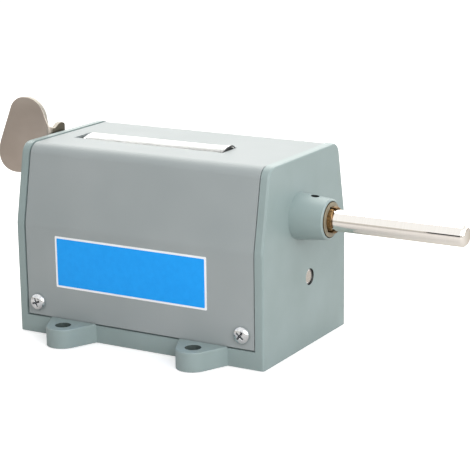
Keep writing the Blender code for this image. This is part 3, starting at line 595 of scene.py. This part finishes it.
# Input shaft. A drawn and ground 8 mm bar, bright nickel plated, with a turned chamfer; it is pinned
# to a die-cast zinc disc inside, and a collar takes its thrust.
SHAFT_R = 0.0040
SHAFT_FROM = 0.0246
SHAFT_TO = 0.1205
SHAFT_BORE_R = 0.0027
SHAFT_BORE_END = 0.0331
PIN_X = 0.0366
PIN_HOLE_R = 0.0016
END_CHAMFER = 0.0011

# Bright nickel over a ground bar: a mirror along the bar, softened by faint rings 0.3 mm apart.
nickel_bar, tree, shader, noise = clouded(
    "bright_nickel_on_ground_bar", {"Metallic": 1.0, "Specular Tint": colour_of("d8d4cc")},
    "f7f3ec", "faf6f0", 40.0, 2.0, (80, 1, 1)
)
uneven_gloss(tree, shader, noise.outputs["Fac"], 0.015, 0.03)
grain(tree, shader, noise.outputs["Fac"], 0.00001, 0.02)

bm = turned([
    (SHAFT_BORE_END, 0.0), (SHAFT_BORE_END, SHAFT_BORE_R), (SHAFT_FROM, SHAFT_BORE_R),
    (SHAFT_FROM, SHAFT_R - 0.0003), (SHAFT_FROM + 0.0003, SHAFT_R),
    (SHAFT_TO - END_CHAMFER - 0.0001, SHAFT_R), (SHAFT_TO - END_CHAMFER + 0.00005, SHAFT_R - 0.00005),
    (SHAFT_TO - 0.00008, SHAFT_R - END_CHAMFER + 0.00015), (SHAFT_TO, SHAFT_R - END_CHAMFER),
    (SHAFT_TO, 0.0),
], 96)
bmesh.ops.transform(bm, matrix=Matrix.Translation((0, WHEEL_Y, WHEEL_Z)) @ ALONG_X, verts=bm.verts)
drill = rod(-CUTTER_SPARE, CUTTER_SPARE, PIN_HOLE_R, 24)
bmesh.ops.translate(drill, verts=drill.verts, vec=(PIN_X, WHEEL_Y, WHEEL_Z))
bar = add_piece("input_shaft_bar", carved(bm, drill), nickel_bar, "drive", ["input_shaft"])
weigh_normals(bar)

# Raw pressure-cast zinc: dull, cloudy grey with faint flow marks a few millimetres long.
zinc, tree, shader, noise = clouded("raw_die_cast_zinc", {"Metallic": 1.0}, "8f9497", "a9adb0", 300.0, 4.0)
uneven_gloss(tree, shader, noise.outputs["Fac"], 0.40, 0.55)
grain(tree, shader, noise.outputs["Fac"], 0.00003, 0.3)
refinish(zinc, "drive_disc")

# Bright zinc plating: silvery, with a slight blue and straw cast that wanders.
plated, tree, shader, noise = clouded("bright_zinc_plate", {"Metallic": 1.0}, "c3c8cf", "d4d2c8", 350.0)
uneven_gloss(tree, shader, noise.outputs["Fac"], 0.18, 0.30)
refinish(plated, "thrust_collar", "key_washer", "key_screw")


# Cover. One bent sheet of 1.2 mm steel, enamelled a plainer grey, that drops in flush between the
# end plates. It has a punched slot for the figures and four holes for its screws.
SHEET_T = 0.0012
COVER_HALF_L = 0.05047
COVER_FOOT = 0.00715
SHEET_FIT = 0.0003
KNEE = (0.0330, 0.0434, 0.010)
SHOULDER = (0.0270, 0.0740, 0.005)
SLOT_X = (-0.0425, 0.0247)
SLOT_Y = -0.0043
SLOT_HALF_W = 0.00545
SCREW_X = 0.0455
SCREW_Z = 0.0126
SCREW_HOLE_R = 0.0023
DEBURRED = 0.00018

# Enamel on smooth sheet: flat grey, with a finer peel than the casting's.
cover_enamel, tree, shader, noise = clouded(
    "stoved_enamel_on_sheet", {"IOR": 1.50, "Roughness": 0.48}, "949c9d", "9da4a5", 28.0, 2.0
)
spots = noise.inputs["Vector"].links[0].from_socket
peel = add_node(tree, "TexNoise", {"Vector": spots, "Scale": 420.0, "Detail": 2.0})
grain(tree, shader, peel.outputs["Fac"], 0.00005, 0.25)


def pull_out(bm, made, step):
    """Moves the new vertices of an extrusion by a step."""
    moved = [v for v in made["geom"] if isinstance(v, bmesh.types.BMVert)]
    bmesh.ops.translate(bm, verts=moved, vec=step)


slope = Vector((KNEE[0] - SHOULDER[0], SHOULDER[1] - KNEE[1]))
slant = SHEET_FIT * slope.length / slope.y
knee_y = KNEE[0] - SHEET_FIT
knee_z = KNEE[1] + (KNEE[0] - slant - knee_y) * slope.y / slope.x
top_z = SHOULDER[1] - SHEET_FIT
top_y = KNEE[0] - slant - (top_z - KNEE[1]) * slope.x / slope.y
half_profile = [(knee_y, COVER_FOOT), (knee_y, knee_z), (top_y, top_z)]
profile = [(-y, z) for y, z in half_profile] + half_profile[::-1]
bm = bmesh.new()
line = [bm.verts.new((-COVER_HALF_L, y, z)) for y, z in profile]
edges = [bm.edges.new(pair) for pair in zip(line, line[1:])]
made = bmesh.ops.extrude_edge_only(bm, edges=edges)
pull_out(bm, made, (2 * COVER_HALF_L, 0, 0))
bend = atan2(slope.x, slope.y)
for height, radius, angle, steps in ((knee_z, KNEE[2], bend, 8), (top_z, SHOULDER[2], pi / 2 - bend, 18)):
    edges = [e for e in bm.edges if all(abs(v.co.z - height) < 1e-6 for v in e.verts)
             and abs(e.verts[0].co.x - e.verts[1].co.x) > COVER_HALF_L]
    reach = (radius - SHEET_FIT) * sin(angle / 2) / cos(angle / 2)
    bmesh.ops.bevel(bm, geom=edges, offset=reach, offset_type="OFFSET", segments=steps, profile=0.5,
                    affect="EDGES", material=-1)
planes = [(x, 0, (1, 0, 0)) for x in SLOT_X] + [(0, SLOT_Y + s * SLOT_HALF_W, (0, 1, 0)) for s in (-1, 1)]
for x, y, normal in planes:
    split(bm, (x, y, 0), normal)
punched = []
for face in bm.faces:
    spot = face.calc_center_median()
    if SLOT_X[0] < spot.x < SLOT_X[1] and abs(spot.y - SLOT_Y) < SLOT_HALF_W and spot.z > top_z - 0.0005:
        punched.append(face)
bmesh.ops.delete(bm, geom=punched, context="FACES")
bmesh.ops.dissolve_limit(bm, angle_limit=radians(0.2), verts=bm.verts, edges=bm.edges)
bmesh.ops.recalc_face_normals(bm, faces=bm.faces)
if min(bm.faces, key=lambda f: f.calc_center_median().y).normal.y > 0:
    bmesh.ops.reverse_faces(bm, faces=bm.faces)
bmesh.ops.solidify(bm, geom=bm.faces[:], thickness=SHEET_T)
bmesh.ops.recalc_face_normals(bm, faces=bm.faces)
drills = []
for side_x in (-1, 1):
    for side_y in (-1, 1):
        drill = rod(0.0, 0.006, SCREW_HOLE_R, 32)
        place = Matrix.Translation((side_x * SCREW_X, side_y * (HOUSING_HALF_D - 0.003), SCREW_Z))
        place @= Matrix.Rotation(-side_y * pi / 2, 4, "X")
        bmesh.ops.transform(drill, matrix=place, verts=drill.verts)
        drills.append(drill)
cover = add_piece("cover_sheet", carved(bm, *drills), cover_enamel, "housing", ["cover"])
ease = cover.modifiers.new("deburred", "BEVEL")
ease.width = DEBURRED
ease.segments = 2
ease.limit_method = "ANGLE"
ease.angle_limit = radians(50)
weigh_normals(cover)


# Window. A strip of clear acrylic, 0.6 mm thick, heat-bent to an arch that stands up through the
# slot; its flat flanges lie under the sheet. Its right end has sprung up and leaves a dark mouth.
LENS_T = 0.0006
LENS_X = (-0.0440, 0.0243)
ARCH_FROM = -0.0414
ARCH_L = 0.0030
LENS_FOOT_Z = 0.07245
LENS_CREST_Z = 0.0747
LENS_CREST_Y = -0.0026
LENS_FEET_Y = (-0.0093, 0.0010)
LENS_FLANGE = 0.0020
SPRUNG_L = 0.0100
SPRUNG_UP = 0.20
LENS_STEPS = 8
CREST_STEPS = 36
# Gap and thickness of the black block of painted shade in the window's mouth.
MOUTH_SHADE_FIT = 0.0001
MOUTH_SHADE_T = 0.0008

# Clear acrylic: polished, with a slight long waviness from the bending.
acrylic, tree, shader = principled("clear_bent_acrylic", {
    "Base Color": colour_of("f6f9f9"), "Roughness": 0.03, "IOR": 1.49, "Transmission Weight": 1.0,
})
spots = add_node(tree, "TexCoord", {})
wave = add_node(tree, "TexNoise", {"Vector": spots.outputs["Object"], "Scale": 90.0, "Detail": 1.0})
grain(tree, shader, wave.outputs["Fac"], 0.00006, 0.2)

bm = bmesh.new()
rise = LENS_CREST_Z - LENS_FOOT_Z
outline = [(LENS_FEET_Y[0] - LENS_FLANGE, 0.0)]
for step in range(CREST_STEPS + 1):
    turn = pi * step / CREST_STEPS
    reach = LENS_CREST_Y - LENS_FEET_Y[0] if turn < pi / 2 else LENS_FEET_Y[1] - LENS_CREST_Y
    outline.append((LENS_CREST_Y - reach * cos(turn), rise * sin(turn)))
outline.append((LENS_FEET_Y[1] + LENS_FLANGE, 0.0))
line = [bm.verts.new((LENS_X[0], y, LENS_FOOT_Z + z)) for y, z in outline]
made = bmesh.ops.extrude_edge_only(bm, edges=[bm.edges.new(pair) for pair in zip(line, line[1:])])
pull_out(bm, made, (LENS_X[1] - LENS_X[0], 0, 0))
for step in range(LENS_STEPS + 1):
    for start, length in ((ARCH_FROM, ARCH_L), (LENS_X[1] - SPRUNG_L, SPRUNG_L)):
        split(bm, (start + length * step / LENS_STEPS, 0, 0), (1, 0, 0))
for vert in bm.verts:
    # Flat at its left end, an arch from there on, and sprung up further at the right end.
    arch = min(max((vert.co.x - ARCH_FROM) / ARCH_L, 0.0), 1.0)
    sprung = max(vert.co.x - LENS_X[1] + SPRUNG_L, 0.0) / SPRUNG_L
    height = (vert.co.z - LENS_FOOT_Z) * arch * arch * (3 - 2 * arch)
    vert.co.z = LENS_FOOT_Z + height * (1 + SPRUNG_UP * sprung ** 2)
bmesh.ops.recalc_face_normals(bm, faces=bm.faces)
if max(bm.faces, key=lambda f: f.calc_center_median().z).normal.z < 0:
    bmesh.ops.reverse_faces(bm, faces=bm.faces)
bmesh.ops.solidify(bm, geom=bm.faces[:], thickness=LENS_T)
bmesh.ops.recalc_face_normals(bm, faces=bm.faces)
# The strip's right end faces take the painted shade.
for face in bm.faces:
    face.material_index = 1 if face.normal.x > 0.9 else 0
strip = add_piece("window_strip", bm, acrylic, "housing", ["window_lens"], sharp=40)

# Painted shade at the strip's right end: its sawn end faces are a dark grey, and a black block with a
# coarse grain fills the mouth under the arch.
sawn_face_shade = clouded("painted_shade_on_sawn_acrylic", {"Roughness": 0.60}, "2b2c2d", "454647", 900.0)[0]
strip.data.materials.append(sawn_face_shade)
mouth_shade_block, tree, shader, noise = clouded(
    "painted_shade_in_window_mouth", {"Roughness": 0.85}, "141516", "232526", 2500.0, 2.0
)
grain(tree, shader, noise.outputs["Fac"], 0.00010, 0.8)
bm = bmesh.new()
inside = []
shrink = 1 - (LENS_T + MOUTH_SHADE_FIT) / (LENS_FEET_Y[1] - LENS_CREST_Y)
for y, z in outline[2:-2]:
    height = z * (1 + SPRUNG_UP) - LENS_T - MOUTH_SHADE_FIT
    if height > 0:
        y = LENS_CREST_Y + (y - LENS_CREST_Y) * shrink
        inside.append(bm.verts.new((LENS_X[1] - MOUTH_SHADE_FIT, y, LENS_FOOT_Z + height)))
made = bmesh.ops.extrude_face_region(bm, geom=[bm.faces.new(inside)])
pull_out(bm, made, (-MOUTH_SHADE_T, 0, 0))
bmesh.ops.recalc_face_normals(bm, faces=bm.faces)
add_piece("window_mouth_painted_shade", bm, mouth_shade_block, "housing")


# Cover screws. Bright-plated pan heads with a cross recess, cold-headed and rolled, M4; each is
# screwed through the sheet into a lug of the casting.
HEAD_R = 0.0034
HEAD_H = 0.0021
SCREW_R = 0.0020
SCREW_ROOT_R = 0.00165
SCREW_PITCH = 0.0007
SCREW_L = 0.0086
SCREW_TIP_R = 0.0014
THREAD_FROM = 0.0014
RECESS_L = 0.0041
RECESS_W = 0.00085
RECESS_DEPTH = 0.0015
ROLLED_EDGE = 0.00008

# Bright nickel on a headed screw: shiny, with tiny dents from tumbling, drawn at 0.5 mm.
bright_plate, tree, shader, noise = clouded(
    "bright_plated_screw_steel", {"Metallic": 1.0}, "d3d6da", "eceeee", 900.0, 2.0
)
uneven_gloss(tree, shader, noise.outputs["Fac"], 0.10, 0.20)
grain(tree, shader, noise.outputs["Fac"], 0.00003, 0.35)

# Painted shade in the cross recess: its faces are a dark grey in place of the bright plating.
recess_shade = clouded(
    "painted_shade_in_screw_recess", {"Metallic": 1.0, "Roughness": 0.45}, "3a3b3d", "5b5c5f", 900.0
)[0]


def cross_recess():
    """The cutters of a cross recess whose four wings taper into the head, at Z = 0 and down."""
    cutters = []
    for quarter in (0, pi / 2):
        cutter = bmesh.new()
        bmesh.ops.create_cone(cutter, cap_ends=True, segments=4, radius1=0.32, radius2=0.76, depth=1.0,
                              matrix=Matrix.Rotation(pi / 4, 4, "Z"))
        bmesh.ops.scale(cutter, verts=cutter.verts, vec=(RECESS_L, RECESS_W, RECESS_DEPTH * 1.4))
        bmesh.ops.rotate(cutter, verts=cutter.verts, matrix=Matrix.Rotation(quarter, 3, "Z"))
        bmesh.ops.translate(cutter, verts=cutter.verts, vec=(0, 0, HEAD_H - RECESS_DEPTH * 0.3))
        cutters.append(cutter)
    return cutters


screws = (
    ("front_left", -1, -1, 20), ("front_right", 1, -1, 52),
    ("rear_left", -1, 1, 8), ("rear_right", 1, 1, 70),
)
for name, side_x, side_y, angle in screws:
    head = [
        (HEAD_H, 0.0), (HEAD_H - 0.00004, 0.0012), (HEAD_H - 0.00018, 0.0020), (HEAD_H - 0.00048, 0.0027),
        (HEAD_H - 0.00090, 0.0031), (HEAD_H - 0.00140, HEAD_R), (0.0001, HEAD_R), (0.0, HEAD_R - 0.0001),
        (0.0, SCREW_R),
    ]
    thread = []
    depth = -THREAD_FROM
    while depth > -SCREW_L + 2 * SCREW_PITCH:
        thread += [(depth, SCREW_R), (depth - SCREW_PITCH / 2, SCREW_ROOT_R)]
        depth -= SCREW_PITCH
    tip = [(depth, SCREW_R), (-SCREW_L, SCREW_TIP_R), (-SCREW_L, 0.0)]
    bm = carved(turned(head + thread + tip, 48), *cross_recess())
    # Faces inside the recess take the painted shade.
    for face in bm.faces:
        x, y, z = face.calc_center_median()
        in_recess = hypot(x, y) < RECESS_L * 0.6 and 0 < z < HEAD_H - 0.0004
        face.material_index = 1 if in_recess else 0
    stand = Matrix.Rotation(-side_y * pi / 2, 4, "X") @ Matrix.Rotation(radians(angle), 4, "Z")
    place = Matrix.Translation((side_x * SCREW_X, side_y * (KNEE[0] - 0.0002), SCREW_Z))
    bmesh.ops.transform(bm, matrix=place @ stand, verts=bm.verts)
    screw = add_piece(
        f"cross_screw_{name}", bm, bright_plate, "housing", [f"cover_screw_{name}"]
    )
    screw.data.materials.append(recess_shade)
    ease = screw.modifiers.new("rolled", "BEVEL")
    ease.width = ROLLED_EDGE
    ease.segments = 2
    ease.limit_method = "ANGLE"
    ease.angle_limit = radians(45)


# Label. Aluminium foil, white lacquered and screen printed with one blue field that leaves a white
# border, stuck to the cover's front. It bears no words.
LABEL_X = (-0.0366, 0.0308)
LABEL_Z = (0.0197, 0.0399)
LABEL_BORDER = 0.0008
FOIL_T = 0.00015
PRINT_T = 0.00003
PRINT_SUNK = 0.00001
LABEL_CORNER_R = 0.0004

# White lacquer: even, with a very faint cloud 8 mm across.
white_foil = clouded(
    "white_lacquered_foil", {"IOR": 1.5, "Roughness": 0.30}, "eef1f5", "fafcff", 120.0
)[0]
# Screen ink: an even saturated blue; the mesh leaves a very slight mottle, drawn at 2 mm.
blue_print = clouded(
    "blue_screen_print", {"IOR": 1.5, "Roughness": 0.36, "Specular IOR Level": 0.25},
    "129ef8", "18a4fc", 500.0, 2.0
)[0]
layers = (
    ("label_foil", white_foil, 0.0, FOIL_T, 0.0),
    ("label_print", blue_print, FOIL_T - PRINT_SUNK, FOIL_T + PRINT_T, LABEL_BORDER),
)
for name, finish, inner, outer, border in layers:
    low = Vector((LABEL_X[0] + border, -KNEE[0] + SHEET_FIT - outer, LABEL_Z[0] + border))
    high = Vector((LABEL_X[1] - border, -KNEE[0] + SHEET_FIT - inner, LABEL_Z[1] - border))
    bm = bmesh.new()
    bmesh.ops.create_cube(bm, size=1.0)
    bmesh.ops.scale(bm, verts=bm.verts, vec=high - low)
    bmesh.ops.translate(bm, verts=bm.verts, vec=(low + high) / 2)
    corners = [e for e in bm.edges if abs(e.verts[0].co.y - e.verts[1].co.y) > 1e-6]
    bmesh.ops.bevel(bm, geom=corners, offset=LABEL_CORNER_R, offset_type="OFFSET", segments=6, profile=0.5,
                    affect="EDGES", material=-1)
    add_piece(name, bm, finish, "housing")


# Wing key. Blanked from 2 mm steel sheet, bent so that a wing stands on each side of a base plate,
# and bright nickel plated; half a turn brings one wing onto the other.
KEY_T = 0.0020
KEY_X = -0.0570
KEY_AXIS_Y = -0.0006828
KEY_AXIS_Z = 0.0655279
KEY_FLAT = 0.0029
KEY_BEND_R = 0.0020
KEY_FOLDS = 12
KEY_EDGE = 0.00035
KEY_SCREW_HOLE_R = 0.0018
CORNER_STEP = 0.0006
# Corners of the front half as (distance from the middle, height, corner radius).
KEY_CORNERS = (
    (0.0042, 0.0088, 0.0020), (0.0079, 0.0216, 0.0086), (0.0206, 0.0216, 0.0068), (0.0345, -0.0122, 0.0095),
    (0.0056, -0.0070, 0.0015), (0.0032, -0.0119, 0.0030), (0.0000, -0.0110, 0.0),
)

# Nickel over rolled sheet: satin, with soft cloudy wear from fingers a few millimetres across. The face
# towards the housing is darkened as painted shade.
nickel_sheet, tree, shader, noise = clouded(
    "nickel_on_pressed_sheet", {"Metallic": 1.0}, "b4a99f", "c1b7ae", 60.0, 2.0, (1, 1, 1.5)
)
spots = add_node(tree, "TexCoord", {})
spots = add_node(tree, "SeparateXYZ", {"Vector": spots.outputs["Object"]})
# Painted shade: the side towards the housing is mixed to a dark tone.
housing_side_shade_mask = add_node(tree, "MapRange", {
    "Value": spots.outputs["X"], "From Min": KEY_X - 0.0004, "From Max": KEY_X + 0.0008,
})
painted_shade_mix = add_node(tree, "Mix", {"data_type": "RGBA", 0: housing_side_shade_mask.outputs["Result"]})
tree.links.new(shader.inputs["Base Color"].links[0].from_socket, painted_shade_mix.inputs[6])
painted_shade_mix.inputs[7].default_value = colour_of("5c574d")
tree.links.new(painted_shade_mix.outputs[2], shader.inputs["Base Color"])
uneven_gloss(tree, shader, noise.outputs["Fac"], 0.38, 0.30)
grain(tree, shader, noise.outputs["Fac"], 0.00003, 0.08)

# The sheared edge is rougher than the rolled face and its plating looks duller.
sheared_edge, tree, shader, noise = clouded(
    "nickel_on_sheared_edge", {"Metallic": 1.0}, "8b877f", "9d9991", 400.0
)
uneven_gloss(tree, shader, noise.outputs["Fac"], 0.45, 0.60)

corners = list(KEY_CORNERS) + [(-u, -z, r) for u, z, r in KEY_CORNERS]
bm = bmesh.new()
bm.faces.new([bm.verts.new((u, 0, z)) for u, z, _ in corners])
bm.verts.ensure_lookup_table()
rounds = []
for index, (u, z, radius) in enumerate(corners):
    here = Vector((u, z))
    to_a = (Vector(corners[index - 1][:2]) - here).normalized()
    to_b = (Vector(corners[(index + 1) % len(corners)][:2]) - here).normalized()
    half_angle = to_a.angle(to_b) / 2
    rounds.append((bm.verts[index], radius * cos(half_angle) / sin(half_angle), radius))
for vert, offset, radius in rounds:
    if radius:
        bmesh.ops.bevel(bm, geom=[vert], offset=offset, offset_type="OFFSET", profile=0.5,
                        segments=8 + int(radius / CORNER_STEP), affect="VERTICES", material=-1)
bmesh.ops.translate(bm, verts=bm.verts, vec=(0, -KEY_T / 2, 0))
made = bmesh.ops.extrude_face_region(bm, geom=bm.faces[:])
pull_out(bm, made, (0, KEY_T, 0))
bmesh.ops.recalc_face_normals(bm, faces=bm.faces)
drill = rod(-CUTTER_SPARE, CUTTER_SPARE, KEY_SCREW_HOLE_R, 32)
bmesh.ops.rotate(drill, verts=drill.verts, matrix=Matrix.Rotation(pi / 2, 3, "X"))
bm = carved(bm, drill)
rims = [e for e in bm.edges if e.is_manifold and e.calc_face_angle() > radians(70)]
bmesh.ops.bevel(bm, geom=rims, offset=KEY_EDGE, offset_type="OFFSET", segments=3, profile=0.5,
                affect="EDGES", material=-1, clamp_overlap=True)
for face in bm.faces:
    face.material_index = 1 if abs(face.normal.y) < 0.5 else 0
arc = KEY_BEND_R * pi / 2
for fold in range(KEY_FOLDS + 1):
    for side in (-1, 1):
        split(bm, (side * (KEY_FLAT + arc * fold / KEY_FOLDS), 0, 0), (1, 0, 0))
for vert in bm.verts:
    # Bent about a line 2 mm behind the sheet's middle; the base plate stays, the wings turn outwards.
    u, out, z = vert.co
    turn = min(max(abs(u) - KEY_FLAT, 0.0) / KEY_BEND_R, pi / 2)
    straight = max(abs(u) - KEY_FLAT - arc, 0.0)
    x = -KEY_BEND_R + (KEY_BEND_R + out) * cos(turn) - straight
    y = min(abs(u), KEY_FLAT) + (KEY_BEND_R + out) * sin(turn)
    vert.co = (KEY_X + x, KEY_AXIS_Y + (-y if u > 0 else y), KEY_AXIS_Z + z)
bmesh.ops.recalc_face_normals(bm, faces=bm.faces)
key = add_piece("stamped_wing_key", bm, nickel_sheet, "key", ["wing_key"], sharp=50)
key.data.materials.append(sheared_edge)
